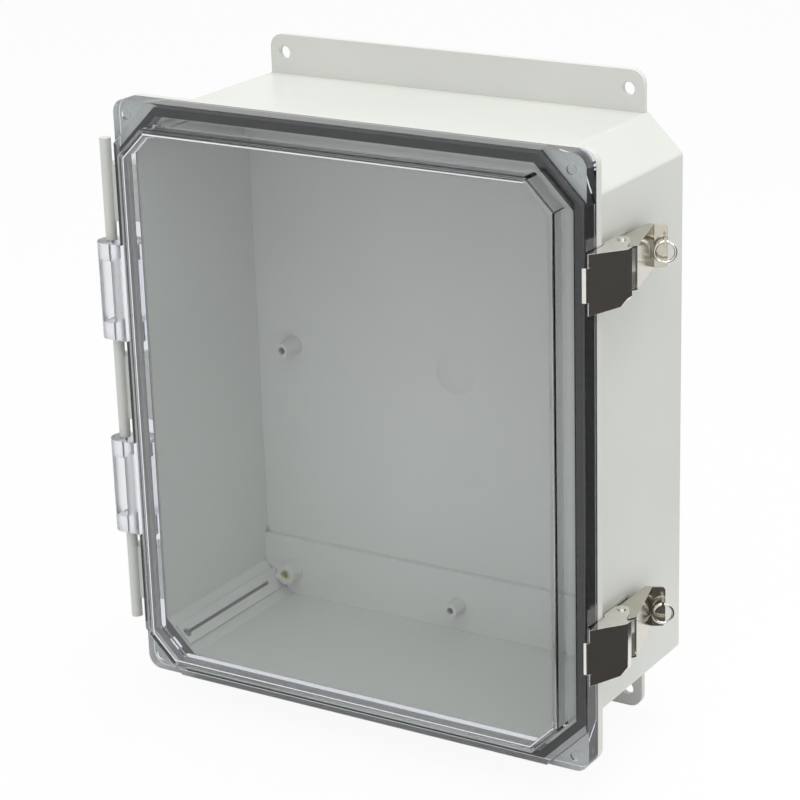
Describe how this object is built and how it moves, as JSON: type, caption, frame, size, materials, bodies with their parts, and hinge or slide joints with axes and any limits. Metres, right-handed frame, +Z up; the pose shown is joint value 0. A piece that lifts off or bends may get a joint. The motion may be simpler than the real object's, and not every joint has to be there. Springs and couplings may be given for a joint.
{
  "type": "hinged enclosure",
  "caption": "Wall-mount plastic enclosure with a clear raised cover on side hinges, over-centre latches with seal rings, and flanged mounting plates.",
  "frame": {"origin": "middle of the four wall holes, on the wall plane behind the enclosure", "axes": "+X to the right as seen from the front, +Y into the wall, +Z up; the cover faces -Y"},
  "size_m": [0.3632, 0.148, 0.413],
  "materials": {
    "body_plastic": "moulded, light warm grey, satin gloss",
    "clear_cover": "clear moulded polycarbonate",
    "gasket": "matte foam rubber",
    "stainless": "polished stainless sheet",
    "dark_steel": "plated screws",
    "brass": "machined"
  },
  "bodies": {
    "enclosure": {"enclosure_body": "body_plastic", "mounting_flange_upper": "body_plastic", "mounting_flange_lower": "body_plastic", "flange_screws": "dark_steel", "panel_inserts": "brass", "hinge_pins_upper": "stainless", "hinge_pins_lower": "stainless", "upper_latch_base": "stainless", "upper_latch_rivets": "stainless", "upper_latch_pivot_pin": "stainless", "lower_latch_base": "stainless", "lower_latch_rivets": "stainless", "lower_latch_pivot_pin": "stainless"},
    "cover": {"cover": "clear_cover", "cover_gasket": "gasket"},
    "upper_lever": {"upper_latch_lever": "stainless"},
    "upper_hook": {"upper_latch_hook": "stainless", "upper_hook_rivets": "stainless"},
    "upper_ring": {"upper_latch_ring": "stainless"},
    "lower_lever": {"lower_latch_lever": "stainless"},
    "lower_hook": {"lower_latch_hook": "stainless", "lower_hook_rivets": "stainless"},
    "lower_ring": {"lower_latch_ring": "stainless"}
  },
  "joints": [
    {"name": "cover_hinge", "type": "hinge", "parent": "enclosure", "child": "cover", "pos_m": [-0.1745, -0.1247, 0], "axis": [0, 0, -1], "range_deg": [0, 180]},
    {"name": "upper_lever_pivot", "type": "hinge", "parent": "enclosure", "child": "upper_lever", "pos_m": [0.1675, -0.106, 0.118], "axis": [0, 0, -1], "range_deg": [0, 80]},
    {"name": "upper_hook_pivot", "type": "hinge", "parent": "upper_lever", "child": "upper_hook", "pos_m": [0.1655, -0.097, 0.118], "axis": [0, 0, 1], "range_deg": [0, 104]},
    {"name": "upper_ring_swing", "type": "hinge", "parent": "upper_lever", "child": "upper_ring", "pos_m": [0.17334, -0.05797, 0.1217], "axis": [-0.8763, -0.4818, 0], "range_deg": [0, 90]},
    {"name": "lower_lever_pivot", "type": "hinge", "parent": "enclosure", "child": "lower_lever", "pos_m": [0.1675, -0.106, -0.1085], "axis": [0, 0, -1], "range_deg": [0, 80]},
    {"name": "lower_hook_pivot", "type": "hinge", "parent": "lower_lever", "child": "lower_hook", "pos_m": [0.1655, -0.097, -0.1085], "axis": [0, 0, 1], "range_deg": [0, 104]},
    {"name": "lower_ring_swing", "type": "hinge", "parent": "lower_lever", "child": "lower_ring", "pos_m": [0.17334, -0.05797, -0.1048], "axis": [-0.8763, -0.4818, 0], "range_deg": [0, 90]}
  ],
  "couplings": [
    {"joint": "upper_hook_pivot", "follows": "upper_lever_pivot", "ratio": 1.3},
    {"joint": "lower_hook_pivot", "follows": "lower_lever_pivot", "ratio": 1.3}
  ]
}
